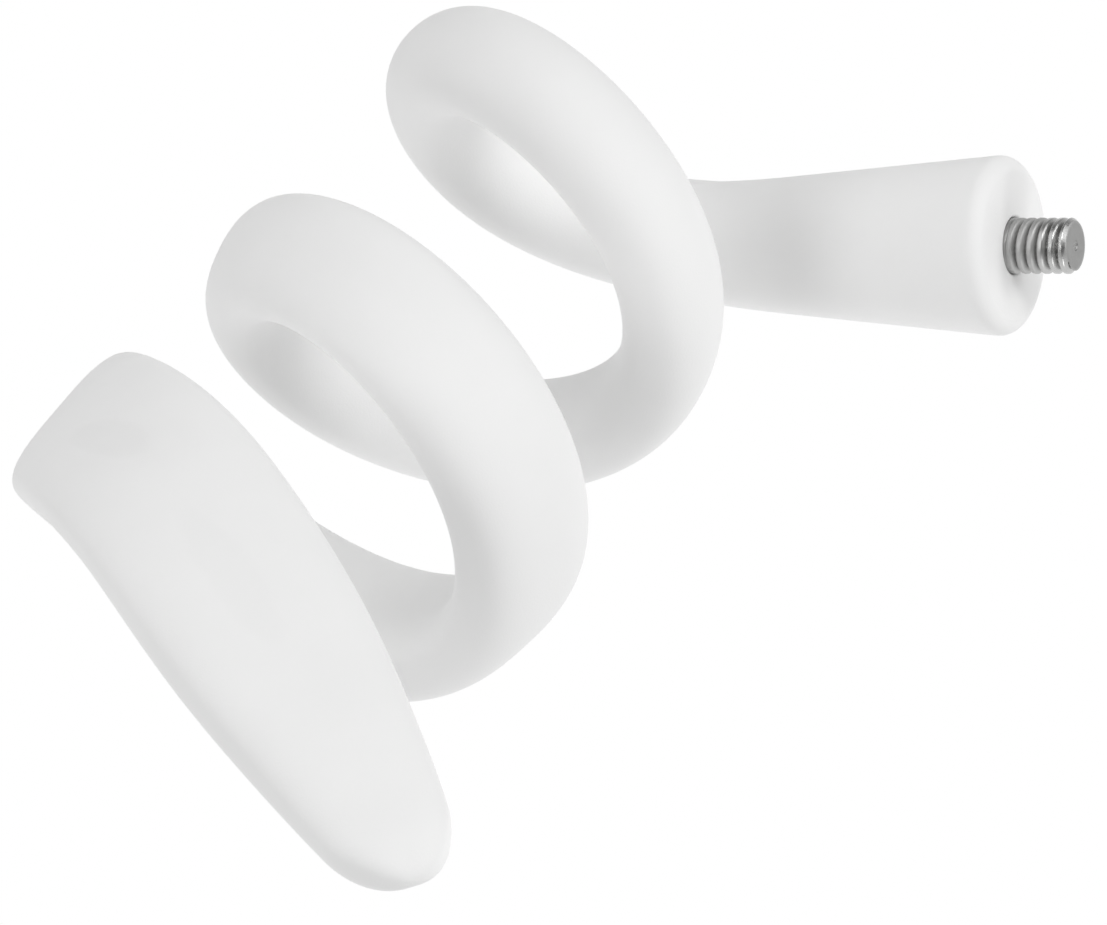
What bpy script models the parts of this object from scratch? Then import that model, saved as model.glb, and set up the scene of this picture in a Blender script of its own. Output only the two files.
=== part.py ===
"""Flexible twist mount: a bendable silicone arm with a camera stud, wound as a coil.

The arm is one long body whose shape is a bend schedule: how sharply it bends, and to which
side, at each place along its length. Everything else (jacket, core wire, bores and the cuts
that let the arm bend) follows that line, so one change carries through the whole part.

Frame: +X runs along the coil's axis towards the head, +Z is up, and the origin lies on the
coil's axis in the middle of the wound length. Lengths are millimetres until a mesh is made.
"""
from math import ceil, cos, pi, radians, sin

import bmesh
import bpy
import numpy as np
from mathutils import Vector

MM = 0.001

# ---- driving dimensions: the arm -------------------------------------------------------
STRAIGHT_LENGTH = 25.0        # the head is straight this far from its end face
COIL_RADIUS = 21.5            # centre line of a turn
TONGUE_LENGTH = 90.0          # flat end of the arm, past the wound length
HEAD_RADIUS = 10.4
HEAD_FILLET = 2.0             # round on the edge of the head's end face
NECK_RADIUS = 7.2             # where the cone of the head ends
HEAD_FACE = (52.5, -44.5, -2.0)
HEAD_AZIMUTH = 105.0          # direction of the arm as it leaves the head's end face
HEAD_ELEVATION = -23.5
HEAD_SIDE = 25.0              # side that the section's flat would face at the round head
ROUND = 2.0                   # squareness of a round section
COIL_AXIS = (1.0, 0.0, 0.0)

# Bend of the wound length: degrees of winding, bend against that of a turn of COIL_RADIUS,
# and the side that it bends to, in degrees round the arm from the top of the head.
WOUND_BEND = (
    (0.0, 0.000, 12.0),
    (53.3, 0.591, -8.0),
    (106.6, 1.140, -3.0),
    (173.2, 1.043, -31.0),
    (253.2, 1.032, -42.0),
    (359.8, 0.882, -76.0),
    (466.4, 0.968, -93.0),
    (573.0, 0.817, -125.0),
    (679.5, 1.011, -142.0),
    (786.1, 0.946, -161.0),
    (866.1, 0.892, -190.0),
    (946.0, 0.484, -191.0),
)
# Bend of the tongue: share of its length, and the same two columns.
TONGUE_BEND = (
    (0.333, 0.237, -238.0),
    (1.000, -0.172, -176.0),
)

# Section of the arm past the neck: degrees of winding, half width across the coil's axis side,
# half thickness, squareness (2 is an ellipse, 4 a rounded box) and the side its flat faces.
WOUND_SECTION = (
    (106.6, 6.7, 6.1, 2.0, -10.0),
    (200.0, 6.6, 5.6, 2.1, -36.0),
    (359.8, 6.8, 5.2, 2.2, -80.0),
    (466.4, 7.1, 4.9, 2.3, -92.0),
    (573.0, 7.4, 4.7, 2.4, -108.0),
    (679.5, 8.3, 4.7, 2.6, -138.0),
    (786.1, 8.9, 4.5, 2.9, -156.0),
    (866.1, 9.2, 4.1, 3.0, -182.0),
    (946.0, 9.7, 3.8, 3.2, -195.0),
)
TONGUE_SECTION = (
    (0.333, 10.5, 3.7, 3.3, -221.0),
    (0.667, 9.6, 3.5, 3.3, -231.0),
    (0.800, 7.9, 3.3, 3.2, -229.0),
    (0.889, 6.6, 2.8, 3.2, -228.0),
    (1.000, 4.6, 2.1, 3.2, -226.0),
)
TIP_ROUND = 7.0               # length over which the tip's outline rounds off
TIP_POWER = 2.1

# ---- driving dimensions: where the arm bends -------------------------------------------
TILT_AT = 38.0                # hinge that tilts the head, from the end face
FIRST_BEND_AT = 54.0          # first hinge of the coil
LAST_BEND_FROM_TIP = 32.0
BEND_COUNT = 17
HELD_SEGMENT = 8              # segment that stays put when the rest of the arm is bent
CLOSING = 25.0                # each hinge closes this far past the wound shape
LEAST_OPENING = 30.0          # and opens at least this far, or until the arm is straight
TILT = 30.0
ANGLE_MARGIN = 3.0            # play left between the cut faces at the end of the range
CUT_GAP = 0.3                 # space between two segments at the hinge line

# ---- driving dimensions: what the jacket holds -----------------------------------------
WIRE_RADIUS = 1.8
CLEARANCE = 0.3               # between neighbouring pieces
STUD_RADIUS = 3.175           # 1/4 inch thread
THREAD_PITCH = 1.27           # 20 threads to the inch
THREAD_DEPTH = 0.69
STUD_LENGTH = 7.8             # proud of the end face
THREAD_RUN_IN = 0.2
THREAD_RUN_OUT = 1.0          # the thread fades into the chamfer over this length
STUD_DIMPLE_RADIUS = 1.1
STUD_DIMPLE_DEPTH = 0.5
FLANGE_RADIUS = 4.9           # hexagon that keys the stud in the insert
FLANGE_START = 4.3
FLANGE_THICKNESS = 2.7
FACE_SKIN = 1.5               # silicone over the insert at the end face
INSERT_WALL = 1.2             # nylon round the flange and the ferrule
INSERT_FLOOR = 2.0            # insert past the ferrule's end
FERRULE_RADIUS = 4.8
FERRULE_LENGTH = 15.2
FERRULE_GAP = 1.8             # between the flange and the ferrule
WIRE_INSET = 1.2              # the wire starts this far inside the ferrule
SLEEVE_WALL = 0.5             # metal over and under the wire
SLEEVE_WING = 2.3             # and at its sides
SLEEVE_SQUARENESS = 4.0
SLEEVE_LENGTH = 10.0
SLEEVE_FROM_TIP = 18.0
SLEEVE_FLOOR = 1.5            # metal past the wire's end
LEAST_SKIN = 0.3              # thinnest silicone over the sleeve

# ---- fineness ---------------------------------------------------------------------------
LINE_STEP = 0.5               # step of the centre line's integration
RING_STEP = 6.0               # spacing of the jacket's rings
WIRE_STEP = 4.0
JACKET_SIDES = 20
WIRE_SIDES = 8
ROUND_SIDES = 24
THREAD_SIDES = 12             # even, so that every second corner falls on the hexagon's flats
SLEEVE_SIDES = 16
FILLET_ANGLES = (0.0, 22.5, 45.0, 67.5)
TIP_ANGLES = (12.0, 24.0, 36.0, 48.0, 60.0, 70.0, 78.0, 85.0)
OVERRUN = 5.0                 # bodies and cutters that are trimmed start and end this far out
SHARP_ANGLE = 35.0
# one thread: share of the pitch, share of the depth below the crest
THREAD_PROFILE = ((0.0, 1.0), (0.35, 0.1), (0.55, 0.1), (0.9, 1.0))

# ---- derived lengths --------------------------------------------------------------------
WOUND_END = STRAIGHT_LENGTH + COIL_RADIUS * radians(WOUND_BEND[-1][0])
ARM_LENGTH = WOUND_END + TONGUE_LENGTH
FLANGE_END = FLANGE_START + FLANGE_THICKNESS
FERRULE_START = FLANGE_END + FERRULE_GAP
FERRULE_END = FERRULE_START + FERRULE_LENGTH
INSERT_END = FERRULE_END + INSERT_FLOOR
INSERT_RADIUS = max(FLANGE_RADIUS, FERRULE_RADIUS) + CLEARANCE + INSERT_WALL
WIRE_START = FERRULE_START + WIRE_INSET
WIRE_END = ARM_LENGTH - SLEEVE_FROM_TIP - SLEEVE_FLOOR
SLEEVE_HALF_THICKNESS = WIRE_RADIUS + CLEARANCE + SLEEVE_WALL
SLEEVE_HALF_WIDTH = WIRE_RADIUS + CLEARANCE + SLEEVE_WING
SLEEVE_END = ARM_LENGTH - SLEEVE_FROM_TIP
SLEEVE_START = SLEEVE_END - SLEEVE_LENGTH


def along(row, wound=True):
    """Distance from the head's end face of a schedule's row."""
    if wound:
        return STRAIGHT_LENGTH + COIL_RADIUS * radians(row[0])
    return WOUND_END + TONGUE_LENGTH * row[0]


def columns(wound_rows, tongue_rows):
    """A schedule as one array: its first column becomes the distance along the arm."""
    rows = [(along(r), *r[1:]) for r in wound_rows]
    rows += [(along(r, wound=False), *r[1:]) for r in tongue_rows]
    return np.array(rows).T


def eased(at, stations, values):
    """Smooth curve through the stations: cubic Hermite pieces with averaged slopes."""
    stations = np.asarray(stations, float)
    values = np.asarray(values, float)
    slopes = np.gradient(values, stations)
    at = np.clip(at, stations[0], stations[-1])
    i = np.clip(np.searchsorted(stations, at, side="right") - 1, 0, len(stations) - 2)
    width = stations[i + 1] - stations[i]
    t = (at - stations[i]) / width
    rise = values[i + 1] - values[i]
    start = width * slopes[i]
    end = width * slopes[i + 1]
    return values[i] + t * start + t**2 * (3 * rise - 2 * start - end) + t**3 * (start + end - 2 * rise)


def unit(vector):
    return np.asarray(vector, float) / np.linalg.norm(vector)


def spun(vectors, axis, angle):
    """Vectors turned about a unit axis, by the right-hand rule."""
    return vectors * cos(angle) + np.cross(axis, vectors) * sin(angle) + np.outer(
        vectors @ axis, axis) * (1 - cos(angle))


class Spine:
    """The arm's centre line, with a frame (forward, side 0, side 90) at each place on it."""

    def __init__(self):
        distance, bend, side = columns(WOUND_BEND, TONGUE_BEND)
        count = ceil(ARM_LENGTH / LINE_STEP)
        self.at = np.linspace(0.0, ARM_LENGTH, count + 1)
        curvature = np.interp(self.at, distance, bend) / COIL_RADIUS
        side = np.radians(np.interp(self.at, distance, side))
        forward = np.array([
            cos(radians(HEAD_ELEVATION)) * cos(radians(HEAD_AZIMUTH)),
            cos(radians(HEAD_ELEVATION)) * sin(radians(HEAD_AZIMUTH)),
            sin(radians(HEAD_ELEVATION)),
        ])
        up = unit(np.array([0.0, 0.0, 1.0]) - forward * forward[2])
        frame = np.array([forward, up, np.cross(forward, up)])
        place = np.array(HEAD_FACE)
        self.places = [place]
        self.frames = [frame]
        for i in range(count):
            step = self.at[i + 1] - self.at[i]
            pull = 0.5 * (curvature[i] * np.array([cos(side[i]), sin(side[i])])
                          + curvature[i + 1] * np.array([cos(side[i + 1]), sin(side[i + 1])]))
            angle = step * float(np.hypot(*pull))
            if angle > 0:
                axis = unit(frame[2] * pull[0] - frame[1] * pull[1])
                middle = spun(frame, axis, angle / 2)
                frame = spun(frame, axis, angle)
            else:
                middle = frame
            place = place + middle[0] * step
            self.places.append(place)
            self.frames.append(frame)
        self.places = np.array(self.places)
        self.frames = np.array(self.frames)
        self.turn = np.concatenate([[0.0], np.cumsum(
            0.5 * (curvature[1:] + curvature[:-1]) * np.diff(self.at))])

    def place(self, at):
        """Point of the centre line; past either end the line runs straight on."""
        inside = float(np.clip(at, 0.0, ARM_LENGTH))
        point = np.array([np.interp(inside, self.at, self.places[:, k]) for k in range(3)])
        return point + self.frame(inside)[0] * (at - inside)

    def frame(self, at):
        i = int(round(np.clip(at, 0.0, ARM_LENGTH) / ARM_LENGTH * (len(self.at) - 1)))
        return self.frames[i]

    def bend_between(self, start, end):
        """Degrees that the wound arm turns through between two distances."""
        turn = np.interp((start, end), self.at, self.turn)
        return abs(float(np.degrees(turn[1] - turn[0])))


SPINE = Spine()


def section_at(at):
    """Half width, half thickness, squareness and side of the flat, at a distance."""
    stations, width, thickness, power, side = columns(WOUND_SECTION, TONGUE_SECTION)
    cone = NECK_RADIUS + (HEAD_RADIUS - NECK_RADIUS) * (1 - at / TILT_AT)
    if at <= TILT_AT:
        return cone, cone, ROUND, eased(at, (0.0, stations[0]), (HEAD_SIDE, side[0]))
    neck = (TILT_AT, *stations)
    half_thickness = float(eased(at, neck, (NECK_RADIUS, *thickness)))
    if SLEEVE_START - RING_STEP < at < SLEEVE_END + CLEARANCE:
        half_thickness = max(half_thickness, SLEEVE_HALF_THICKNESS + CLEARANCE + LEAST_SKIN)
    return (
        float(eased(at, neck, (NECK_RADIUS, *width))),
        half_thickness,
        float(eased(at, neck, (ROUND, *power))),
        float(eased(at, (0.0, *stations), (HEAD_SIDE, *side))),
    )


def ring(at, half_width, half_thickness, power, side, sides):
    """Points round the centre line: a rounded box or ellipse, its width along the hinge side."""
    forward, first, second = SPINE.frame(at)
    inward = cos(radians(side)) * first + sin(radians(side)) * second
    across = np.cross(forward, inward)
    angles = 2 * pi * np.arange(sides) / sides
    wide = np.sign(np.cos(angles)) * np.abs(np.cos(angles)) ** (2 / power) * half_width
    thick = np.sign(np.sin(angles)) * np.abs(np.sin(angles)) ** (2 / power) * half_thickness
    return SPINE.place(at) + np.outer(wide, across) + np.outer(thick, inward)


def spread(start, end, step):
    """Both ends and the whole steps between them, so that neighbours share their facets."""
    whole = [step * k for k in range(ceil(start / step), int(end / step) + 1)]
    return [start] + [s for s in whole if start + 0.1 * step < s < end - 0.1 * step] + [end]


# ---- mesh helpers -----------------------------------------------------------------------
def loft(rings):
    """Closed body over a list of rings, capped at both ends."""
    body = bmesh.new()
    made = [[body.verts.new(point) for point in points] for points in rings]
    sides = len(made[0])
    for low, high in zip(made, made[1:]):
        for k in range(sides):
            n = (k + 1) % sides
            body.faces.new((low[k], low[n], high[n], high[k]))
    body.faces.new(made[0][::-1])
    body.faces.new(made[-1])
    bmesh.ops.recalc_face_normals(body, faces=body.faces)
    return body


def cut(body, point, normal):
    """Keeps the side of a plane that the normal points to, and closes the cut."""
    edge = bmesh.ops.bisect_plane(
        body, geom=body.verts[:] + body.edges[:] + body.faces[:], dist=1e-5,
        plane_co=Vector(point), plane_no=Vector(normal), clear_inner=True)
    border = [e for e in edge["geom_cut"] if isinstance(e, bmesh.types.BMEdge)]
    bmesh.ops.edgeloop_fill(body, edges=border)
    bmesh.ops.recalc_face_normals(body, faces=body.faces)


def turned(profile, sides, phase=0.0):
    """Solid of revolution round the straight head: (distance from its end face, radius) pairs."""
    forward, first, second = SPINE.frame(0.0)
    angles = 2 * pi * (np.arange(sides) + phase) / sides
    around = np.outer(np.cos(angles), first) + np.outer(np.sin(angles), second)
    return loft([SPINE.place(0.0) + forward * distance + around * radius for distance, radius in profile])


# ---- scene helpers ----------------------------------------------------------------------
def clear_scene():
    for thing in list(bpy.data.objects):
        bpy.data.objects.remove(thing, do_unlink=True)


def material(name, colour, roughness, metallic=0.0):
    made = bpy.data.materials.new(name)
    made.use_nodes = True
    shader = made.node_tree.nodes["Principled BSDF"]
    shader.inputs["Base Color"].default_value = (*colour, 1.0)
    shader.inputs["Roughness"].default_value = roughness
    shader.inputs["Metallic"].default_value = metallic
    return made


def add_object(name, body, look, pivot, parent=None):
    """Object with its origin on the pivot, a point in millimetres, made from a body."""
    bmesh.ops.translate(body, verts=body.verts, vec=-Vector(pivot))
    bmesh.ops.scale(body, verts=body.verts, vec=(MM, MM, MM))
    mesh = bpy.data.meshes.new(name)
    body.to_mesh(mesh)
    body.free()
    mesh.shade_smooth()
    mesh.set_sharp_from_angle(angle=radians(SHARP_ANGLE))
    thing = bpy.data.objects.new(name, mesh)
    bpy.context.scene.collection.objects.link(thing)
    if look is not None:
        mesh.materials.append(look)
    thing.parent = parent
    if parent is None:
        thing.location = Vector(pivot) * MM
    return thing


def add_cutter(name, body):
    thing = add_object(name, body, None, (0.0, 0.0, 0.0))
    thing.hide_render = True
    thing.display_type = "WIRE"
    return thing


def subtract(thing, cutter):
    boolean = thing.modifiers.new("cut " + cutter.name, "BOOLEAN")
    boolean.operation = "DIFFERENCE"
    boolean.solver = "EXACT"
    boolean.object = cutter


# ---- hinges -----------------------------------------------------------------------------
class Hinge:
    """A place where the arm bends: its axis, and how far each side of the cut leans back."""

    def __init__(self, name, at, axis, inner, outer):
        self.name = name
        self.at = at
        self.place = SPINE.place(at)
        forward = SPINE.frame(at)[0]
        self.axis = unit(axis)
        self.forward = unit(forward - self.axis * (forward @ self.axis))
        self.inward = np.cross(self.axis, self.forward)
        self.inner = radians(inner)
        self.outer = radians(outer)

    def trim(self, body, direction):
        """Cuts a body to the wedge on one side: direction +1 keeps what lies past the hinge."""
        point = self.place + self.forward * direction * CUT_GAP / 2
        for lean, side in ((self.inner, 1), (self.outer, -1)):
            normal = cos(lean) * self.forward * direction - side * sin(lean) * self.inward
            cut(body, point, normal)


def arm_hinges():
    """The tilt hinge of the head, then the hinges of the coil, all parallel to its axis."""
    coil_axis = np.array(COIL_AXIS)
    sideways = np.cross(coil_axis, SPINE.frame(TILT_AT)[0])
    lean = (TILT + ANGLE_MARGIN) / 2
    hinges = [Hinge("head_tilt", TILT_AT, sideways, lean, lean)]
    stations = np.linspace(FIRST_BEND_AT, ARM_LENGTH - LAST_BEND_FROM_TIP, BEND_COUNT)
    spacing = stations[1] - stations[0]
    for number, at in enumerate(stations, 1):
        opening = max(LEAST_OPENING, SPINE.bend_between(at - spacing / 2, at + spacing / 2))
        hinges.append(Hinge(
            f"bend_{number:02d}", at, coil_axis,
            (CLOSING + ANGLE_MARGIN) / 2, (opening + ANGLE_MARGIN) / 2))
    return hinges


# ---- the pieces -------------------------------------------------------------------------
def jacket_rings(start, end):
    """Rings of the silicone between two distances, with the rounded head edge and tip."""
    stations = list(spread(max(start, 0.0), min(end, ARM_LENGTH), RING_STEP))
    if start <= 0:
        head = HEAD_FILLET * (1 - np.cos(np.radians(FILLET_ANGLES)))
        stations = list(head) + [s for s in stations if s > HEAD_FILLET]
    if end >= ARM_LENGTH:
        tip = TIP_ROUND * (1 - np.sin(np.radians(TIP_ANGLES)))
        stations = [s for s in stations if s < ARM_LENGTH - TIP_ROUND - 1] + list(ARM_LENGTH - tip)
    rings = []
    for at in stations:
        width, thickness, power, side = section_at(at)
        if at < HEAD_FILLET:
            width -= HEAD_FILLET - (HEAD_FILLET**2 - (HEAD_FILLET - at) ** 2) ** 0.5
            thickness = width
        left = ARM_LENGTH - at
        if left < TIP_ROUND:
            width *= (1 - (1 - left / TIP_ROUND) ** TIP_POWER) ** (1 / TIP_POWER)
        if left < thickness:
            thickness *= (1 - (1 - left / thickness) ** 2) ** 0.5
        rings.append(ring(at, width, thickness, power, side, JACKET_SIDES))
    return rings


def wire(start, end, radius):
    """Round wire on the arm's centre line."""
    return loft([ring(at, radius, radius, ROUND, section_at(at)[3], WIRE_SIDES)
                 for at in spread(start, end, WIRE_STEP)])


def cylinder(start, end, radius, sides=ROUND_SIDES, phase=0.0):
    """Round (or, with six sides, hexagonal) bar in the head, between two distances."""
    return turned(((start, radius), (end, radius)), sides, phase)


def sleeve_body(grow):
    """Rounded box round the wire's end, larger on every side by 'grow'."""
    half_width = SLEEVE_HALF_WIDTH + grow
    half_thickness = SLEEVE_HALF_THICKNESS + grow
    return loft([
        ring(at, half_width, half_thickness, SLEEVE_SQUARENESS, section_at(at)[3], SLEEVE_SIDES)
        for at in spread(SLEEVE_START - grow, SLEEVE_END + grow, RING_STEP)])


def stud_rings(profile):
    """Rings of the stud's plain lengths: (distance out from the face, radius, hexagonal) rows."""
    forward, first, second = SPINE.frame(0.0)
    rings = []
    for out, radius, hexagonal in profile:
        points = []
        for j in range(THREAD_SIDES):
            angle = 2 * pi * j / THREAD_SIDES
            reach = radius * (cos(pi / 6) if hexagonal and j % 2 else 1.0)
            outward = cos(angle) * first + sin(angle) * second
            points.append(np.array(HEAD_FACE) - forward * out + outward * reach)
        rings.append(points)
    return rings


def thread_grid(body):
    """Helical thread as a grid whose columns each start a little further along the screw."""
    forward, first, second = SPINE.frame(0.0)
    turns = ceil(STUD_LENGTH / THREAD_PITCH) + 1
    samples = len(THREAD_PROFILE)
    columns_made = []
    for j in range(THREAD_SIDES):
        angle = 2 * pi * j / THREAD_SIDES
        outward = cos(angle) * first + sin(angle) * second
        column = []
        for k in range(samples * (turns + 1)):
            share, sunk = THREAD_PROFILE[k % samples]
            out = (k // samples - 1 + j / THREAD_SIDES + share) * THREAD_PITCH
            out = float(np.clip(out, 0.0, STUD_LENGTH))
            fade = max(1 - out / THREAD_RUN_IN, 1 - (STUD_LENGTH - out) / THREAD_RUN_OUT, sunk)
            reach = STUD_RADIUS - THREAD_DEPTH * fade
            column.append(body.verts.new(np.array(HEAD_FACE) - forward * out + outward * reach))
        columns_made.append(column)
    for j, here in enumerate(columns_made):
        there = columns_made[(j + 1) % THREAD_SIDES]
        shift = samples if j + 1 == THREAD_SIDES else 0
        for k in range(len(here) - 1 - shift):
            body.faces.new((here[k], here[k + 1], there[k + 1 + shift], there[k + shift]))


def stud_body():
    """Screw with a helical thread outside, and a plain shank and hexagonal flange inside."""
    root = STUD_RADIUS - THREAD_DEPTH
    inner = stud_rings((
        (-FLANGE_END, FLANGE_RADIUS, True), (-FLANGE_START, FLANGE_RADIUS, True),
        (-FLANGE_START, root, False), (0.0, root, False)))
    outer = stud_rings((
        (STUD_LENGTH, root, False), (STUD_LENGTH, STUD_DIMPLE_RADIUS, False),
        (STUD_LENGTH - STUD_DIMPLE_DEPTH, STUD_DIMPLE_RADIUS / 3, False)))
    body = bmesh.new()
    for rings, cap in ((inner, 0), (outer, -1)):
        made = [[body.verts.new(point) for point in points] for points in rings]
        body.faces.new(made[cap])
        for low, high in zip(made, made[1:]):
            for k in range(THREAD_SIDES):
                n = (k + 1) % THREAD_SIDES
                body.faces.new((low[k], low[n], high[n], high[k]))
    thread_grid(body)
    bmesh.ops.remove_doubles(body, verts=body.verts, dist=1e-4)
    bmesh.ops.recalc_face_normals(body, faces=body.faces)
    return body


def main():
    clear_scene()
    white = material("white silicone", (0.80, 0.80, 0.79), 0.55)
    aluminium = material("annealed aluminium", (0.72, 0.73, 0.74), 0.38, 1.0)
    steel = material("zinc plated steel", (0.62, 0.61, 0.60), 0.22, 1.0)
    nylon = material("grey nylon", (0.30, 0.31, 0.32), 0.50)
    brass = material("tinned brass", (0.66, 0.62, 0.50), 0.30, 1.0)

    hinges = arm_hinges()
    bore = add_cutter("core_bore", wire(
        WIRE_START - CLEARANCE, WIRE_END + CLEARANCE, WIRE_RADIUS + CLEARANCE))
    pocket = add_cutter("insert_pocket", cylinder(
        FACE_SKIN, INSERT_END + CLEARANCE, INSERT_RADIUS + CLEARANCE))
    throat = add_cutter("stud_hole", cylinder(-OVERRUN, FLANGE_START, STUD_RADIUS + CLEARANCE))
    sleeve_pocket = add_cutter("sleeve_pocket", sleeve_body(CLEARANCE))

    # joint empties, in two chains that start at the held segment
    joints = {}
    for step, order in ((-1, range(HELD_SEGMENT - 1, -1, -1)), (1, range(HELD_SEGMENT, len(hinges)))):
        parent = None
        origin = np.zeros(3)
        for i in order:
            joint = bpy.data.objects.new("joint_" + hinges[i].name, None)
            bpy.context.scene.collection.objects.link(joint)
            joint.parent = parent
            joint.location = Vector(hinges[i].place - origin) * MM
            joint.empty_display_size = 0.01
            joints[i if step < 0 else i + 1] = (joint, hinges[i].place)
            parent = joint
            origin = hinges[i].place

    stations = [0.0] + [h.at for h in hinges] + [ARM_LENGTH]
    for i in range(len(stations) - 1):
        parent, pivot = joints.get(i, (None, np.zeros(3)))
        before = hinges[i - 1] if i > 0 else None
        after = hinges[i] if i < len(hinges) else None
        start = stations[i] - OVERRUN if before else 0.0
        end = stations[i + 1] + OVERRUN if after else ARM_LENGTH
        jacket = loft(jacket_rings(start, end))
        core = wire(max(start, WIRE_START), min(end, WIRE_END), WIRE_RADIUS)
        for body in (jacket, core):
            if before:
                before.trim(body, 1)
            if after:
                after.trim(body, -1)
        jacket_object = add_object(f"jacket_{i:02d}", jacket, white, pivot, parent)
        subtract(jacket_object, bore)
        add_object(f"core_wire_{i:02d}", core, aluminium, pivot, parent)
        if i == 0:
            subtract(jacket_object, pocket)
            subtract(jacket_object, throat)
        if after is None:
            subtract(jacket_object, sleeve_pocket)
            add_sleeve(aluminium, bore, pivot, parent)
    head_joint, head_pivot = joints[0]
    add_head_pieces(nylon, brass, steel, bore, head_pivot, head_joint)


def add_sleeve(look, bore, pivot, parent):
    sleeve = add_object("end_sleeve", sleeve_body(0.0), look, pivot, parent)
    subtract(sleeve, bore)


def add_head_pieces(nylon, brass, steel, bore, pivot, parent):
    """Stud, nylon insert that the stud is keyed in, and the ferrule crimped on the wire."""
    flange_reach = FLANGE_RADIUS + CLEARANCE / cos(pi / 6)
    cutters = (
        add_cutter("insert_hole", cylinder(0.0, FLANGE_START, STUD_RADIUS + CLEARANCE)),
        add_cutter("flange_pocket", cylinder(
            FLANGE_START - CLEARANCE, FLANGE_END + CLEARANCE, flange_reach, 6)),
        add_cutter("ferrule_pocket", cylinder(FLANGE_END, INSERT_END + OVERRUN, FERRULE_RADIUS + CLEARANCE)),
    )
    insert = add_object("head_insert", cylinder(
        FACE_SKIN + CLEARANCE, INSERT_END, INSERT_RADIUS), nylon, pivot, parent)
    for cutter in cutters:
        subtract(insert, cutter)
    ferrule = add_object("wire_ferrule", cylinder(
        FERRULE_START, FERRULE_END, FERRULE_RADIUS), brass, pivot, parent)
    subtract(ferrule, bore)
    add_object("camera_stud", stud_body(), steel, pivot, parent)


main()
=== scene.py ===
"""Flexible twist mount: the finished silicone arm, its bendable core and its camera stud.

The arm is drawn as one line with a bend schedule, the same as in the part itself. The silicone
skin is a rounded section carried along that line. It is divided in the middle of each rigid
length, so each piece of skin crosses one hinge. Lengths are millimetres until a mesh is made.
"""
from math import ceil, cos, pi, radians, sin

import bpy
import numpy as np
from mathutils import Matrix, Vector


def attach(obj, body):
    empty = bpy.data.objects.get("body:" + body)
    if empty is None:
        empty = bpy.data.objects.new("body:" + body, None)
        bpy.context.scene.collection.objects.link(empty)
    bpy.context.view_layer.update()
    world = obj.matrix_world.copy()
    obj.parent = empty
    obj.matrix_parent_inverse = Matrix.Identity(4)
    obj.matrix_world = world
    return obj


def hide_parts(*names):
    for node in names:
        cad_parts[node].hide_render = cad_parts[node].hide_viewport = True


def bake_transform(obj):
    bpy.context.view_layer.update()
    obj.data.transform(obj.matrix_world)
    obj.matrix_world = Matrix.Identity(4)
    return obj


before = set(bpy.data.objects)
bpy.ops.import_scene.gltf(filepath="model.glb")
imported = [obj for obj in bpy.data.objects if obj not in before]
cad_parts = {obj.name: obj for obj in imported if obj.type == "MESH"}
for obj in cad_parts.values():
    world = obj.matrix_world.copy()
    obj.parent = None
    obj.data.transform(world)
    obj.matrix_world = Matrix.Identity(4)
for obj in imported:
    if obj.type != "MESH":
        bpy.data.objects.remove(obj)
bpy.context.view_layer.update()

MM = 0.001

# ---- the arm's line: head, wound turns, tongue ------------------------------------------
STRAIGHT_LENGTH = 25.0
COIL_RADIUS = 21.5
TONGUE_LENGTH = 90.0
HEAD_FACE = (52.5, -44.5, -2.0)
HEAD_AZIMUTH = 105.0
HEAD_ELEVATION = -23.5
LINE_STEP = 0.5
# degrees of winding, bend against that of a turn of COIL_RADIUS, side that it bends to
WOUND_BEND = (
    (0.0, 0.000, 12.0),
    (53.3, 0.591, -8.0),
    (106.6, 1.140, -3.0),
    (173.2, 1.043, -31.0),
    (253.2, 1.032, -42.0),
    (359.8, 0.882, -76.0),
    (466.4, 0.968, -93.0),
    (573.0, 0.817, -125.0),
    (679.5, 1.011, -142.0),
    (786.1, 0.946, -161.0),
    (866.1, 0.892, -190.0),
    (946.0, 0.484, -191.0),
)
# share of the tongue's length, and the same two columns
TONGUE_BEND = (
    (0.333, 0.237, -238.0),
    (1.000, -0.172, -176.0),
)

# ---- the arm's section ------------------------------------------------------------------
HEAD_RADIUS = 10.4
HEAD_FILLET = 2.0
NECK_RADIUS = 7.2
NECK_AT = 38.0
HEAD_SIDE = 25.0              # side of the section's flat at the round head
ROUND = 2.0                   # squareness of a circle or an ellipse
# degrees of winding, half width, half thickness, squareness, side that the flat faces
WOUND_SECTION = (
    (106.6, 6.7, 6.1, 2.0, -10.0),
    (200.0, 6.6, 5.6, 2.1, -36.0),
    (359.8, 6.8, 5.2, 2.2, -80.0),
    (466.4, 7.1, 4.9, 2.3, -92.0),
    (573.0, 7.4, 4.7, 2.4, -108.0),
    (679.5, 8.3, 4.7, 2.6, -138.0),
    (786.1, 8.9, 4.5, 2.9, -156.0),
    (866.1, 9.2, 4.1, 3.0, -182.0),
    (946.0, 9.7, 3.8, 3.2, -195.0),
)
TONGUE_SECTION = (
    (0.333, 10.5, 3.7, 3.3, -221.0),
    (0.667, 9.6, 3.5, 3.3, -231.0),
    (0.800, 7.9, 3.3, 3.2, -229.0),
    (0.889, 6.6, 2.8, 3.2, -228.0),
    (1.000, 4.6, 2.1, 3.2, -226.0),
)
TIP_ROUND = 7.0
TIP_POWER = 2.1
TIP_NOSE = 4.5                # length over which the thickness rounds off

# ---- where the arm bends ----------------------------------------------------------------
TILT_AT = 38.0
FIRST_BEND_AT = 54.0
LAST_BEND_FROM_TIP = 32.0
BEND_COUNT = 17

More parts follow.
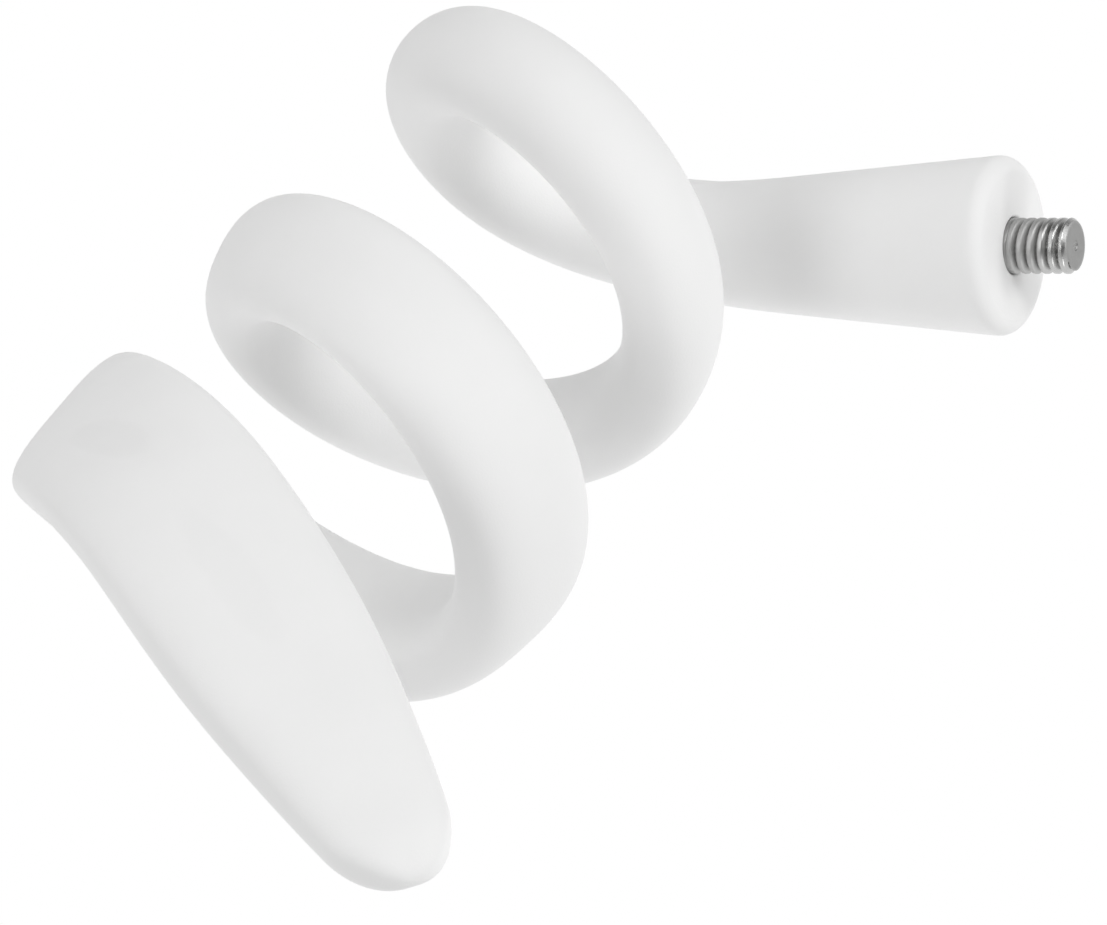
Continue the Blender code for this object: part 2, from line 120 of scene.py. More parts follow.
# ---- hollows of the silicone, wire and stud ----------------------------------------------
CLEARANCE = 0.3
WIRE_RADIUS = 1.8
WIRE_START = 10.0
WIRE_END_FROM_TIP = 19.5
WIRE_EDGE = 0.3
FACE_SKIN = 1.5
INSERT_RADIUS = 6.4
INSERT_END = 26.0
SLEEVE_HALF_WIDTH = 4.4
SLEEVE_HALF_THICKNESS = 2.6
SLEEVE_FROM_TIP = (28.0, 18.0)
SLEEVE_POWER = 4.0
HOLE_LIP = 0.3                # soft edge round the stud's hole in the end face
HOLE_CLEARANCE = 0.08         # the face closes round the stud
STUD_RADIUS = 3.175
THREAD_PITCH = 1.27
THREAD_DEPTH = 0.69
CREST_SHARE = 0.30            # share of the pitch that is a plain crest
STUD_LENGTH = 7.4
THREAD_RUN_IN = 0.2
STUD_END_RADIUS = 2.75
STUD_FACE_EDGE = 0.1          # from the end face's rings to its own edge and to the dimple's
SHANK_TAPER = 0.5             # between the shank in the hole and the core behind it
DIMPLE_RADIUS = 0.6
DIMPLE_DEPTH = 0.2
FLANGE_RADIUS = 4.9
FLANGE_START = 4.3
FLANGE_THICKNESS = 2.7
FLANGE_EDGE = 0.3

# ---- shallow marks of the mould on the tongue --------------------------------------------
# distance from the tip, offset across the width, half length, half width, turn, depth, painted shade
MARKS = (
    (71.0, -1.2, 7.4, 3.0, 8.0, 0.16, 1.0),
    (41.5, -0.9, 12.5, 2.8, 0.0, 0.07, 0.6),
)
TONE = "painted_core_shade"            # attribute that holds the painted shade: the core's shadow showing through the thin skin
MARK_SIDE = -1.0              # which flat of the tongue they are in: the outer one
MARK_EDGE = 0.30              # share of a mark's size over which it eases in
MARK_PAINTED_SHADE = 0.020             # painted shade: how much darker the thin silicone over the core is painted, for the core's shadow in it

# ---- fineness ---------------------------------------------------------------------------
SKIN_SIDES = 96
SKIN_EVERY = 2                # a ring at every second point of the line
RING_GAP = 0.4                # least distance from these rings to those of the head's edge and the tip
LIP_RINGS = 7
FACE_RINGS = 8
HEAD_EDGE_RINGS = 12
TIP_RINGS = 28
POCKET_RINGS = 9
SLEEVE_RINGS = 5
BORE_STEP = 3.0
WIRE_SIDES = 32
STUD_SIDES = 144
STUD_STEP = 0.05
STUD_FACE_RINGS = 8
DIMPLE_RINGS = 8
DIMPLE_ARC = 84.0             # degrees of the dimple's quarter circle that have rings
SHARP_ANGLE = 40.0            # edges sharper than this aren't smoothed

WOUND_END = STRAIGHT_LENGTH + COIL_RADIUS * radians(WOUND_BEND[-1][0])
ARM_LENGTH = WOUND_END + TONGUE_LENGTH


# ---- the arm's line and section as functions ----------------------------------------------
def schedule(wound_rows, tongue_rows):
    """Columns of a schedule: distance = straight length + radius x winding, or share of tongue."""
    wound = np.array(wound_rows)
    tongue = np.array(tongue_rows)
    wound[:, 0] = STRAIGHT_LENGTH + COIL_RADIUS * np.radians(wound[:, 0])
    tongue[:, 0] = WOUND_END + TONGUE_LENGTH * tongue[:, 0]
    return np.vstack((wound, tongue)).T


def eased(at, stations, values):
    """Cubic Hermite pieces through the stations, each slope averaged from its neighbours."""
    slopes = np.gradient(values, stations)
    at = np.clip(at, stations[0], stations[-1])
    i = np.clip(np.searchsorted(stations, at, side="right") - 1, 0, len(stations) - 2)
    width = stations[i + 1] - stations[i]
    t = (at - stations[i]) / width
    rise = values[i + 1] - values[i]
    start = width * slopes[i]
    end = width * slopes[i + 1]
    return values[i] + t * start + t**2 * (3 * rise - 2 * start - end) + t**3 * (start + end - 2 * rise)


def turned_frame(frame_rows, axis, angle):
    """Rodrigues' turn of three row vectors: v cos + (axis x v) sin + axis (axis . v)(1 - cos)."""
    along = np.outer(frame_rows @ axis, axis)
    return frame_rows * cos(angle) + np.cross(axis, frame_rows) * sin(angle) + along * (1 - cos(angle))


def arm_line():
    """Centre line, integrated: each step turns the frame by bend x step towards the bend's side."""
    distance, bend, side = schedule(WOUND_BEND, TONGUE_BEND)
    at = np.linspace(0.0, ARM_LENGTH, ceil(ARM_LENGTH / LINE_STEP) + 1)
    bend = np.interp(at, distance, bend) / COIL_RADIUS
    side = np.radians(np.interp(at, distance, side))
    pull = np.stack((bend * np.cos(side), bend * np.sin(side)), axis=1)
    elevation = radians(HEAD_ELEVATION)
    azimuth = radians(HEAD_AZIMUTH)
    forward = np.array([cos(elevation) * cos(azimuth), cos(elevation) * sin(azimuth), sin(elevation)])
    up = np.array([0.0, 0.0, 1.0]) - forward * forward[2]
    up = up / np.linalg.norm(up)
    rows = np.array([forward, up, np.cross(forward, up)])
    places = [np.array(HEAD_FACE)]
    frames = [rows]
    for step, mean in zip(np.diff(at), 0.5 * (pull[1:] + pull[:-1])):
        angle = step * float(np.hypot(*mean))
        middle = rows
        if angle > 0:
            axis = rows[2] * mean[0] - rows[1] * mean[1]
            axis = axis / np.linalg.norm(axis)
            middle = turned_frame(rows, axis, angle / 2)
            rows = turned_frame(rows, axis, angle)
        places.append(places[-1] + middle[0] * step)
        frames.append(rows)
    return at, np.array(places), np.array(frames)


LINE_AT, LINE_PLACES, LINE_FRAMES = arm_line()


def line_at(at):
    """Points and unit frame rows of the line at distances, read between its points."""
    at = np.atleast_1d(at)
    places = np.stack([np.interp(at, LINE_AT, LINE_PLACES[:, k]) for k in range(3)], axis=1)
    frames = np.stack([
        np.stack([np.interp(at, LINE_AT, LINE_FRAMES[:, r, k]) for k in range(3)], axis=1)
        for r in range(3)], axis=1)
    return places, frames / np.linalg.norm(frames, axis=2, keepdims=True)


def section(at):
    """Half width, half thickness, squareness and side of the flat: a cone, then the schedule."""
    stations, width, thickness, power, side = schedule(WOUND_SECTION, TONGUE_SECTION)
    cone = NECK_RADIUS + (HEAD_RADIUS - NECK_RADIUS) * (1 - at / NECK_AT)
    neck = np.concatenate(([NECK_AT], stations))
    round_part = at <= NECK_AT
    faced = np.where(
        round_part,
        eased(at, np.array((0.0, stations[0])), np.array((HEAD_SIDE, side[0]))),
        eased(at, np.concatenate(([0.0], stations)), np.concatenate(([HEAD_SIDE], side))))
    return (
        np.where(round_part, cone, eased(at, neck, np.concatenate(([NECK_RADIUS], width)))),
        np.where(round_part, cone, eased(at, neck, np.concatenate(([NECK_RADIUS], thickness)))),
        np.where(round_part, ROUND, eased(at, neck, np.concatenate(([ROUND], power)))),
        faced)


def section_axes(at):
    """Centres of sections, their axes across the flat, and those square to the flat."""
    places, frames = line_at(at)
    side = np.radians(section(at)[3])[:, None]
    square = np.cos(side) * frames[:, 1] + np.sin(side) * frames[:, 2]
    return places, np.cross(frames[:, 0], square), square


def rings(at, width, thickness, power, sides):
    """Rounded sections across the line: |x/width|^power + |y/thickness|^power = 1, as a grid."""
    places, across, square = section_axes(at)
    angle = 2 * pi * np.arange(sides) / sides
    power = np.broadcast_to(power, np.shape(at))[:, None]
    reach = (np.abs(np.cos(angle)) ** power + np.abs(np.sin(angle)) ** power) ** (-1 / power)
    x = np.broadcast_to(width, np.shape(at))[:, None] * reach * np.cos(angle)
    y = np.broadcast_to(thickness, np.shape(at))[:, None] * reach * np.sin(angle)
    return places[:, None] + x[..., None] * across[:, None] + y[..., None] * square[:, None]


def grid_normals(grid):
    """Outward unit normals of a grid closed around: slope along the arm x slope round the ring."""
    along = np.gradient(grid, axis=0)
    around = np.roll(grid, -1, axis=1) - np.roll(grid, 1, axis=1)
    normals = np.cross(along, around)
    return normals / np.maximum(np.linalg.norm(normals, axis=2, keepdims=True), 1e-12)


# ---- meshes -----------------------------------------------------------------------------
def ring_quads(count, sides, wrap):
    """Quads between neighbouring rings of a grid; wrap also joins the last ring to the first."""
    last = count if wrap else count - 1
    low, k = np.meshgrid(np.arange(last), np.arange(sides), indexing="ij")
    high = (low + 1) % count
    n = (k + 1) % sides
    corners = (low * sides + k, high * sides + k, high * sides + n, low * sides + n)
    return np.stack(corners, -1).reshape(-1, 4)


def caps(count, sides):
    """Triangles from the first ring to one pole and from the last ring to the next pole."""
    k = np.arange(sides)
    n = (k + 1) % sides
    top = (count - 1) * sides
    pole = np.full(sides, count * sides)
    return np.vstack((np.stack((k, n, pole), -1), np.stack((top + n, top + k, pole + 1), -1)))


def piece_mesh(name, points, quads, triangles, look, normals=None):
    """Mesh from arrays. Normals are given per point, and zero where Blender works them out."""
    mesh = bpy.data.meshes.new(name)
    corners = np.concatenate((quads.ravel(), triangles.ravel())).astype(np.int32)
    starts = np.concatenate((
        4 * np.arange(len(quads)), 4 * len(quads) + 3 * np.arange(len(triangles)))).astype(np.int32)
    mesh.vertices.add(len(points))
    mesh.vertices.foreach_set("co", (points * MM).astype(np.float32).ravel())
    mesh.loops.add(len(corners))
    mesh.loops.foreach_set("vertex_index", corners)
    mesh.polygons.add(len(starts))
    mesh.polygons.foreach_set("loop_start", starts)
    mesh.update(calc_edges=True)
    mesh.validate()
    mesh.shade_smooth()
    mesh.set_sharp_from_angle(angle=radians(SHARP_ANGLE))
    if normals is not None:
        mesh.normals_split_custom_set(normals[corners].tolist())
    mesh.materials.append(look)
    thing = bpy.data.objects.new(name, mesh)
    bpy.context.scene.collection.objects.link(thing)
    return thing


def lathe(name, distances, radii, sides, look):
    """Closed turned body on the stud's axis: radius rows over distance rows, a pole at each end."""
    places, frames = line_at(0.0)
    forward, first, second = frames[0]
    angle = 2 * pi * np.arange(sides) / sides
    outward = np.cos(angle)[:, None] * first + np.sin(angle)[:, None] * second
    grid = places[0] - distances[..., None] * forward + radii[..., None] * outward[None]
    count = len(grid)
    poles = np.array([grid[0].mean(0), grid[-1].mean(0)])
    points = np.vstack((grid.reshape(-1, 3), poles))
    return piece_mesh(name, points, ring_quads(count, sides, wrap=False), caps(count, sides), look)


# ---- materials --------------------------------------------------------------------------
class Shade:
    """A socket of a material; sums, differences, products and powers of it become Math nodes."""

    def __init__(self, look, socket):
        self.look = look
        self.socket = socket

    def maths(self, operation, left, right):
        return self.look.node("ShaderNodeMath", {"operation": operation}, {0: left, 1: right})

    def __add__(self, other):
        return self.maths("ADD", self, other)

    def __radd__(self, other):
        return self.maths("ADD", other, self)

    def __sub__(self, other):
        return self.maths("SUBTRACT", self, other)

    def __rsub__(self, other):
        return self.maths("SUBTRACT", other, self)

    def __mul__(self, other):
        return self.maths("MULTIPLY", self, other)

    def __rmul__(self, other):
        return self.maths("MULTIPLY", other, self)


class Look:
    """One procedural material: a Principled shader and the nodes that feed it."""

    def __init__(self, name, constants):
        self.material = bpy.data.materials.new(name)
        self.material.use_nodes = True
        self.tree = self.material.node_tree
        self.shader = self.tree.nodes["Principled BSDF"]
        for socket, value in constants.items():
            self.shader.inputs[socket].default_value = value
        self.place = self.node("ShaderNodeTexCoord", {}, {}, "Object")

    def node(self, kind, settings, sockets, out=0):
        """Adds a node, sets its settings first, then its sockets, and gives back one output."""
        made = self.tree.nodes.new(kind)
        for name, value in settings.items():
            if name == "stops":
                for stop, (position, colour) in zip(made.color_ramp.elements, value):
                    stop.position = position
                    stop.color = (*colour, 1.0)
            else:
                setattr(made, name, value)
        for name, value in sockets.items():
            if isinstance(value, Shade):
                self.tree.links.new(value.socket, made.inputs[name])
            else:
                made.inputs[name].default_value = value
        return Shade(self, made.outputs[out])

    def noise(self, scale, detail=2.0, roughness=0.5, place=None):
        return self.node("ShaderNodeTexNoise", {}, {
            "Vector": place or self.place, "Scale": scale, "Detail": detail, "Roughness": roughness})

    def ramp(self, value, low, high):
        """Colour between two stops, each a position and a colour."""
        return self.node("ShaderNodeValToRGB", {"stops": (low, high)}, {"Fac": value})

    def feed(self, socket, value):
        self.tree.links.new(value.socket, self.shader.inputs[socket])

    def bump(self, height, strength, distance):
        self.feed("Normal", self.node("ShaderNodeBump", {}, {
            "Strength": strength, "Distance": distance, "Height": height}))


def silicone():
    """Matte white silicone: cloudy tone, painted shade of the core in the marks, moulded satin grain
    and a fine sandblasted texture.
    """
    look = Look("white silicone", {"Specular IOR Level": 0.35, "IOR": 1.41})
    cloud = look.noise(45.0, 3.0)
    core_shade = look.node("ShaderNodeAttribute", {"attribute_name": TONE}, {}, "Fac")
    tone = look.node("ShaderNodeMapRange", {}, {
        "Value": cloud, "From Min": 0.3, "From Max": 0.7, "To Min": 0.865, "To Max": 0.895})
    # painted shade: darker where the core's shadow shows through the thin skin of the marks
    tone = tone - MARK_PAINTED_SHADE * core_shade
    look.feed("Base Color", look.node("ShaderNodeCombineColor", {}, {
        "Red": tone, "Green": tone, "Blue": 0.998 * tone}))
    satin = look.noise(600.0, 4.0, 0.6)
    look.feed("Roughness", 0.52 + 0.16 * satin)
    grain = look.noise(4200.0, 2.0)
    look.bump(0.6 * grain + 0.4 * satin, 0.10, 0.00025)
    return look.material


def plated_steel():
    """Dull plating, painted darker at the foot of each groove for shade and grime, worn bright towards
    the end of the stud.
    """
    look = Look("plated steel", {"Metallic": 1.0})
    places, frames = line_at(0.0)
    offset = look.node("ShaderNodeVectorMath", {"operation": "SUBTRACT"}, {
        0: look.place, 1: tuple(places[0] * MM)})
    across = look.node("ShaderNodeVectorMath", {"operation": "CROSS_PRODUCT"}, {
        0: offset, 1: tuple(frames[0, 0])})
    radius = look.node("ShaderNodeVectorMath", {"operation": "LENGTH"}, {0: across}, "Value")
    out = look.node("ShaderNodeVectorMath", {"operation": "DOT_PRODUCT"}, {
        0: offset, 1: tuple(-frames[0, 0])}, "Value")
    root = (STUD_RADIUS - THREAD_DEPTH) * MM
    # painted shade and grime: 0 at the foot of each groove, where the plating is darker
    clear_of_groove_shade = look.node("ShaderNodeMapRange", {}, {
        "Value": radius, "From Min": root, "From Max": root + 0.6 * THREAD_DEPTH * MM})
    worn = look.node("ShaderNodeMapRange", {"interpolation_type": "SMOOTHSTEP"}, {
        "Value": out, "From Min": 0.35 * STUD_LENGTH * MM, "From Max": 0.7 * STUD_LENGTH * MM})
    # the end face itself isn't worn
    end_face = look.node("ShaderNodeMapRange", {}, {
        "Value": out, "From Min": (STUD_LENGTH - 0.15) * MM, "From Max": (STUD_LENGTH - 0.05) * MM})
    worn = worn * (1.0 - end_face)
    stain = look.noise(900.0, 4.0, 0.6)
    tone = clear_of_groove_shade * 0.6 + stain * 0.4
    look.feed("Base Color", look.ramp(tone, (0.15, (0.37, 0.37, 0.365)), (0.85, (0.53, 0.53, 0.525))))
    look.feed("Roughness", 0.52 - 0.30 * worn + 0.12 * look.noise(2600.0, 3.0))
    look.bump(look.noise(3800.0, 3.0), 0.25, 0.00006)
    return look.material


def drawn_aluminium():
    """Soft drawn wire: dull metal with fine mottling."""
    look = Look("annealed aluminium", {"Metallic": 1.0})
    mottle = look.noise(700.0, 4.0, 0.6)
    look.feed("Base Color", look.ramp(mottle, (0.3, (0.60, 0.61, 0.62)), (0.7, (0.74, 0.75, 0.76))))
    look.feed("Roughness", 0.30 + 0.16 * mottle)
    look.bump(look.noise(3000.0), 0.2, 0.00005)
    return look.material


def filled_nylon():
    """Glass-filled grey nylon: speckled by its short fibres."""
    look = Look("grey nylon", {"Specular IOR Level": 0.4})
    fibre = look.noise(1800.0, 5.0, 0.7)
    look.feed("Base Color", look.ramp(fibre, (0.35, (0.22, 0.23, 0.24)), (0.68, (0.36, 0.37, 0.38))))
    look.feed("Roughness", 0.42 + 0.2 * fibre)
    look.bump(fibre, 0.3, 0.0001)
    return look.material


def tinned_brass():
    """Crimped brass with a thin tin coat: warmer where the coat is thin."""
    look = Look("tinned brass", {"Metallic": 1.0})
    wear = look.noise(500.0, 4.0, 0.6)
    look.feed("Base Color", look.ramp(wear, (0.35, (0.68, 0.60, 0.42)), (0.62, (0.70, 0.69, 0.66))))
    look.feed("Roughness", 0.22 + 0.18 * wear)
    look.bump(look.noise(2500.0), 0.2, 0.00005)
    return look.material


# ---- the silicone skin --------------------------------------------------------------------
def skin_rows():
    """Outer rings from the stud's hole to the tip: distance, half width, half thickness.

    The hole's lip and the head's edge are quarter circles. The tip's outline is a superellipse
    over TIP_ROUND, and its thickness rounds off as a quarter ellipse over TIP_NOSE.
    """
    hole = STUD_RADIUS + HOLE_CLEARANCE
    lip = np.radians(np.linspace(0, 90, LIP_RINGS))
    lip_rows = (HOLE_LIP * (1 - np.sin(lip)), hole + HOLE_LIP * (1 - np.cos(lip)))
    face_radii = np.linspace(hole + HOLE_LIP, HEAD_RADIUS - HEAD_FILLET, FACE_RINGS + 1)[1:]
    edge = np.radians(np.linspace(0, 90, HEAD_EDGE_RINGS + 1))[1:]
    edge_at = HEAD_FILLET * (1 - np.cos(edge))
    edge_cone = section(edge_at)[0]
    edge_radii = edge_cone - HEAD_FILLET * (1 - np.sin(edge))
    body_at = LINE_AT[::SKIN_EVERY]
    after_edge = body_at > HEAD_FILLET + RING_GAP
    before_tip = body_at < ARM_LENGTH - TIP_ROUND - RING_GAP
    body_at = body_at[after_edge & before_tip]
    tip = np.radians(np.linspace(0, 90, TIP_RINGS + 1))[:-1]
    tip_at = ARM_LENGTH - TIP_ROUND * (1 - np.sin(tip))
    at = np.concatenate((lip_rows[0], 0 * face_radii, edge_at, body_at, tip_at))
    width, thickness = section(at)[:2]
    turned_part = np.concatenate((lip_rows[1], face_radii, edge_radii))
    width[:len(turned_part)] = turned_part
    thickness[:len(turned_part)] = turned_part
    left = ARM_LENGTH - at
    width = width * (1 - np.clip(1 - left / TIP_ROUND, 0, 1) ** TIP_POWER) ** (1 / TIP_POWER)
    thickness = thickness * np.sqrt(1 - np.clip(1 - left / TIP_NOSE, 0, 1) ** 2)
    return at, width, thickness


def marked(grid, at):
    """Skin with its moulding marks: each sinks in by a depth that eases from its oval's edge, and gets
    painted shade for the core's shadow in the same way.
    """
    normals = grid_normals(grid)
    places, across, square = section_axes(at)
    offset = np.einsum("ijk,ik->ij", grid - places[:, None], across)
    facing = MARK_SIDE * np.einsum("ijk,ik->ij", grid - places[:, None], square) > 0
    sunk = np.zeros(offset.shape)
    tone = np.zeros(offset.shape)
    for from_tip, aside, half_length, half_width, turn, depth, painted_shade in MARKS:
        ahead = (at - (ARM_LENGTH - from_tip))[:, None]
        beside = offset - aside
        turn = radians(turn)
        reach = np.hypot(
            (ahead * cos(turn) + beside * sin(turn)) / half_length,
            (beside * cos(turn) - ahead * sin(turn)) / half_width)
        ease = np.clip((1 - reach) / MARK_EDGE, 0, 1)
        ease = ease**2 * (3 - 2 * ease) * facing
        sunk += depth * ease
        # painted shade: the core's shadow through the thin skin, eased like the depth
        tone += painted_shade * ease
    return grid - normals * sunk[..., None], tone


def bore_rows(start, end, is_head, is_tip):
    """Inner rings from the end of a piece back to its start: distance, half sizes, squareness."""
    bore = WIRE_RADIUS + CLEARANCE
    rows = []
    if is_tip:
        sleeve_start = ARM_LENGTH - SLEEVE_FROM_TIP[0] - CLEARANCE
        sleeve_end = ARM_LENGTH - SLEEVE_FROM_TIP[1] + CLEARANCE
        wide = SLEEVE_HALF_WIDTH + CLEARANCE
        thick = SLEEVE_HALF_THICKNESS + CLEARANCE
        along = np.linspace(sleeve_end, sleeve_start, SLEEVE_RINGS)
        rows += [(at, wide, thick, SLEEVE_POWER) for at in along]
        end = sleeve_start
    bore_end = INSERT_END + CLEARANCE if is_head else start
    count = ceil((end - bore_end) / BORE_STEP) + 1
    rows += [(at, bore, bore, ROUND) for at in np.linspace(end, bore_end, count)]
    if is_head:
        pocket = INSERT_RADIUS + CLEARANCE
        hole = STUD_RADIUS + HOLE_CLEARANCE
        along = np.linspace(bore_end, FACE_SKIN, POCKET_RINGS)
        rows += [(at, pocket, pocket, ROUND) for at in along]
        rows += [(FACE_SKIN, hole, hole, ROUND)]
    return np.array(rows).T


class Skin:
    """The silicone, divided in the middle of each rigid length."""

    def __init__(self):
        self.at, width, thickness = skin_rows()
        grid = rings(self.at, width, thickness, section(self.at)[2], SKIN_SIDES)
        self.grid, self.tone = marked(grid, self.at)
        self.normals = grid_normals(self.grid)
        self.normals[0] = 0.0

    def row_near(self, at):
        return int(np.argmin(np.abs(self.at - at)))

    def piece(self, name, start, end, is_head, is_tip, look):
        """Closed piece: outer rings, then bore rings back, joined round or shut with poles."""
        outer = self.grid[start:end + 1]
        bore_at, wide, thick, power = bore_rows(self.at[start], self.at[end], is_head, is_tip)
        inner = rings(bore_at, wide, thick, power, SKIN_SIDES)
        points = np.vstack((outer.reshape(-1, 3), inner.reshape(-1, 3)))
        quads = ring_quads(len(outer) + len(inner), SKIN_SIDES, wrap=True)
        triangles = np.zeros((0, 3), int)
        normals = np.zeros(points.shape)
        normals[:len(outer) * SKIN_SIDES] = self.normals[start:end + 1].reshape(-1, 3)
        tone = np.zeros(len(points) + 2 * is_tip)
        tone[:len(outer) * SKIN_SIDES] = self.tone[start:end + 1].ravel()
        if is_tip:
            low = (len(outer) - 1) * SKIN_SIDES
            quads = quads[(quads[:, 0] < low) | (quads[:, 0] >= low + SKIN_SIDES)]
            k = np.arange(SKIN_SIDES)
            n = (k + 1) % SKIN_SIDES
            tip_pole = np.full(SKIN_SIDES, len(points))
            triangles = np.vstack((
                np.stack((low + n, low + k, tip_pole), -1),
                np.stack((low + SKIN_SIDES + k, low + SKIN_SIDES + n, tip_pole + 1), -1)))
            tip = line_at(ARM_LENGTH)[0]
            points = np.vstack((points, tip, inner[:1].mean(1)))
            normals = np.vstack((normals, np.zeros((2, 3))))
        thing = piece_mesh(name, points, quads, triangles, look, normals)
        # painted shade of the core in the marks, kept per point for the silicone
        values = thing.data.attributes.new(TONE, "FLOAT", "POINT").data
        values.foreach_set("value", tone.astype(np.float32))
        return thing


def wire_object(name, start, end, look):
    """Round wire on the line from one distance to another, its cut ends slightly broken."""
    inner = np.linspace(start, end, ceil((end - start) / BORE_STEP) * 3)
    at = np.concatenate(([start, start], inner[1:-1], [end, end]))
    radius = np.full(len(at), WIRE_RADIUS)
    radius[[0, -1]] = WIRE_RADIUS - WIRE_EDGE
    grid = rings(at, radius, radius, ROUND, WIRE_SIDES)
    points = np.vstack((grid.reshape(-1, 3), grid[:1].mean(1), grid[-1:].mean(1)))
    quads = ring_quads(len(grid), WIRE_SIDES, wrap=False)
    return piece_mesh(name, points, quads, caps(len(grid), WIRE_SIDES), look)


# ---- the stud -----------------------------------------------------------------------------
def stud_object(look):
    """Keyed screw. Thread radius = crest - depth x share, share a rounded wave of the helix.

    The thread runs in from a plain shank, and a 45 degree chamfer cuts it back at the end.
    """
    angle = 2 * pi * np.arange(STUD_SIDES) / STUD_SIDES
    root = STUD_RADIUS - THREAD_DEPTH
    flange_end = FLANGE_START + FLANGE_THICKNESS
    hexagon = FLANGE_RADIUS * cos(pi / 6) / np.cos((angle % (pi / 3)) - pi / 6)
    out = np.arange(0.0, STUD_LENGTH, STUD_STEP)
    helix = (out[:, None] / THREAD_PITCH - angle[None] / (2 * pi)) % 1.0
    share = np.clip((np.abs(2 * helix - 1) - CREST_SHARE) / (1 - CREST_SHARE), 0, 1) ** 1.5
    share = share * np.clip(out / THREAD_RUN_IN, 0, 1)[:, None]
    chamfer = STUD_END_RADIUS + STUD_LENGTH - out
    thread = np.minimum(STUD_RADIUS - THREAD_DEPTH * share, chamfer[:, None])
    dimple = np.radians(np.linspace(0, DIMPLE_ARC, DIMPLE_RINGS))
    flange = (
        (-flange_end, hexagon * 0.5),
        (-flange_end, hexagon - FLANGE_EDGE),
        (-flange_end + FLANGE_EDGE, hexagon),
        (-FLANGE_START - FLANGE_EDGE, hexagon),
        (-FLANGE_START, hexagon - FLANGE_EDGE),
        (-FLANGE_START, np.full(STUD_SIDES, root)),
        (-FACE_SKIN - SHANK_TAPER, np.full(STUD_SIDES, root)),
        (-FACE_SKIN, np.full(STUD_SIDES, STUD_RADIUS)),
    )
    face = np.linspace(
        min(root, STUD_END_RADIUS) - STUD_FACE_EDGE, DIMPLE_RADIUS + STUD_FACE_EDGE, STUD_FACE_RINGS)
    end = [(STUD_LENGTH, radius) for radius in face]
    end += [(STUD_LENGTH - DIMPLE_DEPTH * sin(a), DIMPLE_RADIUS * cos(a)) for a in dimple]
    distances = np.concatenate(([f[0] for f in flange], out, [e[0] for e in end]))
    radii = np.vstack((
        [f[1] for f in flange], thread, [np.full(STUD_SIDES, e[1]) for e in end]))
    grid_at = np.repeat(distances[:, None], STUD_SIDES, axis=1)
    return lathe("camera_stud_threaded", grid_at, radii, STUD_SIDES, look)


def build_arm():
    """Skin and wire pieces, each from the middle of one rigid length to the middle of the next."""
    white = silicone()
    metal = drawn_aluminium()
    hinges = np.concatenate((
        [TILT_AT], np.linspace(FIRST_BEND_AT, ARM_LENGTH - LAST_BEND_FROM_TIP, BEND_COUNT)))
    middles = (hinges[1:] + hinges[:-1]) / 2
    skin = Skin()
    seams = [0] + [skin.row_near(at) for at in middles] + [len(skin.at) - 1]
    for number, at in enumerate(hinges):
        is_head = number == 0
        is_tip = number == len(hinges) - 1
        first, last = seams[number], seams[number + 1]
        place, frames = line_at(at)
        place, forward = place[0], frames[0, 0]
        # the reach from the hinge to the nearer seam's nearest point, and the two ends that it gives
        reach = []
        if not is_head:
            reach.append(-((skin.grid[first] - place) @ forward).max())
        if not is_tip:
            reach.append(((skin.grid[last] - place) @ forward).min())
        span = min(reach)
        start = tuple((place - forward * span) * MM)
        end = tuple((place + forward * span) * MM)
        jacket = skin.piece(f"silicone_{number:02d}", first, last, is_head, is_tip, white)
        wire_from = max(skin.at[first], WIRE_START)
        wire_to = min(skin.at[last], ARM_LENGTH - WIRE_END_FROM_TIP)
        core = wire_object(f"bendable_core_{number:02d}", wire_from, wire_to, metal)
        nodes = [number, number + 1] if is_tip else [number]
        for piece, node, slot in ((jacket, "jacket", "silicone"), (core, "core_wire", "core_wire")):
            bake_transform(piece)
            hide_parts(*[f"{node}_{n:02d}" for n in nodes])
    return metal


def finish_cad_nodes(metal):
    """The insert, ferrule and end sleeve keep their shape and get their finishes."""
    looks = {"head_insert": filled_nylon(), "wire_ferrule": tinned_brass(), "end_sleeve": metal}
    for name, look in looks.items():
        mesh = bpy.data.objects[name].data
        mesh.materials.clear()
        mesh.materials.append(look)


# ---- studio ---------------------------------------------------------------------------------
CAMERA_PLACE = (-212.37, -159.52, 380.27)
CAMERA_AIM = (6.31, -12.52, -15.55)
FOCAL_LENGTH = 136.46         # on a 36 mm sensor
LIGHT_DISTANCE = 900.0
# name, direction from the arm towards the light, size, watts
LIGHTS = (
    ("broad right", (0.46, -0.39, 0.80), 900.0, 2.0),
    ("broad left", (-0.19, 0.57, 0.80), 900.0, 1.9),
    ("over the coil", (0.13, -0.26, 0.96), 350.0, 2.05),
    ("left of the tongue", (-0.70, 0.22, 0.68), 350.0, 1.4),
    ("head side", (0.57, -0.71, 0.42), 350.0, 1.3),
    ("low front", (-0.36, -0.92, -0.17), 350.0, 1.0),
)
SKY_ABOVE = 0.16
SKY_BELOW = 1.01
HORIZON = (-0.6, 0.6)         # the sky eases from one to the other between these heights


def aimed(place, target):
    """Matrix of a camera or a light at a place, looking at a target, its top side up."""
    back = (Vector(place) - Vector(target)).normalized()
    turn = back.to_track_quat("Z", "Y").to_matrix().to_4x4()
    return Matrix.Translation(Vector(place) * MM) @ turn


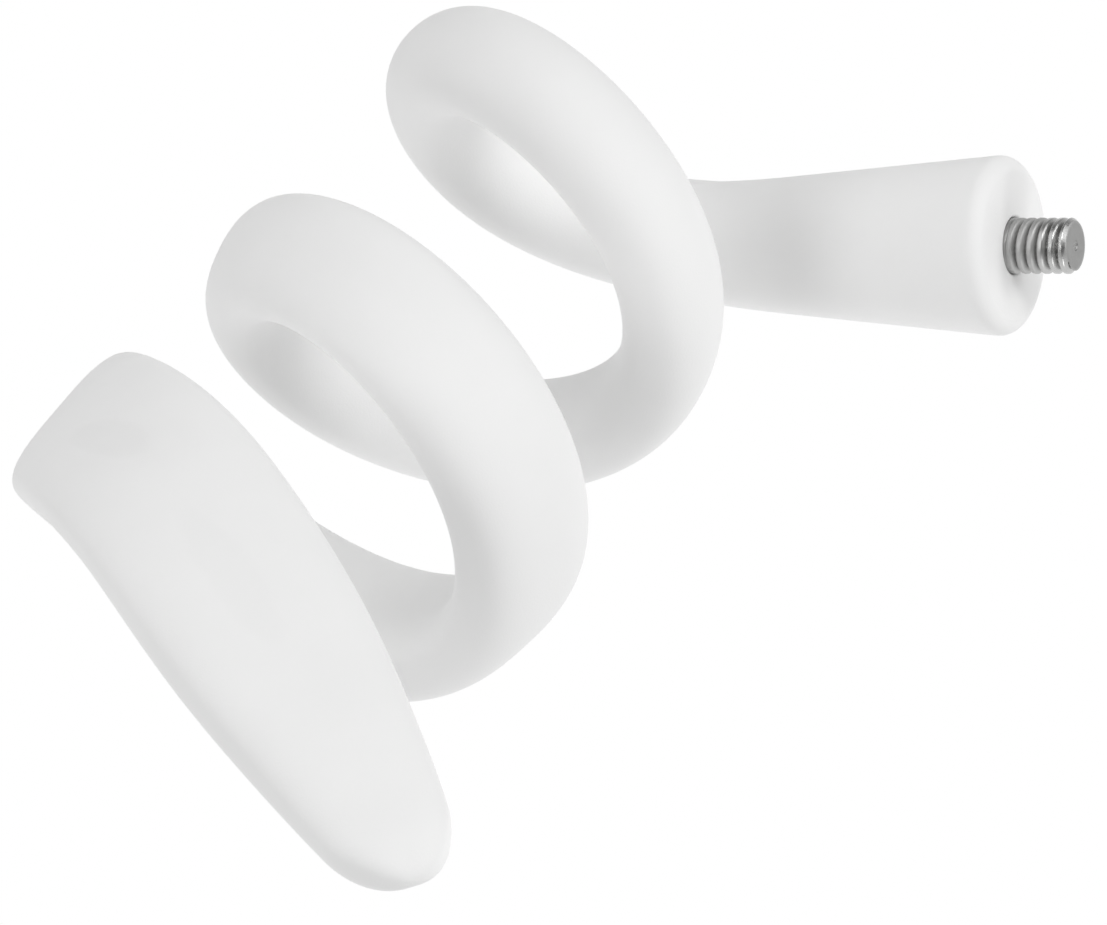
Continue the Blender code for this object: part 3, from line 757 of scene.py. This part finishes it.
def add_camera():
    camera = bpy.data.objects.new("camera", bpy.data.cameras.new("camera"))
    camera.data.sensor_width = 36.0
    camera.data.lens = FOCAL_LENGTH
    camera.data.clip_start = 0.01
    camera.data.clip_end = 20.0
    camera.matrix_world = aimed(CAMERA_PLACE, CAMERA_AIM)
    bpy.context.scene.collection.objects.link(camera)
    bpy.context.scene.camera = camera


def add_lights():
    for name, direction, size, watts in LIGHTS:
        light = bpy.data.lights.new(name, "AREA")
        light.shape = "DISK"
        light.size = size * MM
        light.energy = watts
        thing = bpy.data.objects.new(name, light)
        place = Vector(CAMERA_AIM) + Vector(direction).normalized() * LIGHT_DISTANCE
        thing.matrix_world = aimed(place, CAMERA_AIM)
        thing.visible_camera = False
        bpy.context.scene.collection.objects.link(thing)


def add_surroundings():
    """Light from all round, bright from below as over a light table, and plain white when seen."""
    world = bpy.data.worlds.new("soft studio")
    world.use_nodes = True
    nodes = world.node_tree.nodes
    link = world.node_tree.links.new
    direction = nodes.new("ShaderNodeTexCoord")
    split = nodes.new("ShaderNodeSeparateXYZ")
    height = nodes.new("ShaderNodeMapRange")
    height.interpolation_type = "SMOOTHSTEP"
    height.inputs["From Min"].default_value = HORIZON[0]
    height.inputs["From Max"].default_value = HORIZON[1]
    height.inputs["To Min"].default_value = SKY_BELOW
    height.inputs["To Max"].default_value = SKY_ABOVE
    link(direction.outputs["Generated"], split.inputs["Vector"])
    link(split.outputs["Z"], height.inputs["Value"])
    lit = nodes["Background"]
    lit.inputs["Color"].default_value = (1.0, 1.0, 1.0, 1.0)
    link(height.outputs["Result"], lit.inputs["Strength"])
    seen = nodes.new("ShaderNodeBackground")
    seen.inputs["Color"].default_value = (1.0, 1.0, 1.0, 1.0)
    ray = nodes.new("ShaderNodeLightPath")
    choice = nodes.new("ShaderNodeMixShader")
    link(ray.outputs["Is Camera Ray"], choice.inputs["Fac"])
    link(lit.outputs["Background"], choice.inputs[1])
    link(seen.outputs["Background"], choice.inputs[2])
    link(choice.outputs["Shader"], nodes["World Output"].inputs["Surface"])
    bpy.context.scene.world = world
    bpy.context.scene.view_settings.view_transform = "Standard"


def main():
    add_camera()
    add_lights()
    add_surroundings()
    metal = build_arm()
    finish_cad_nodes(metal)
    stud = stud_object(plated_steel())
    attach(stud, "head")
    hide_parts("camera_stud")


main()
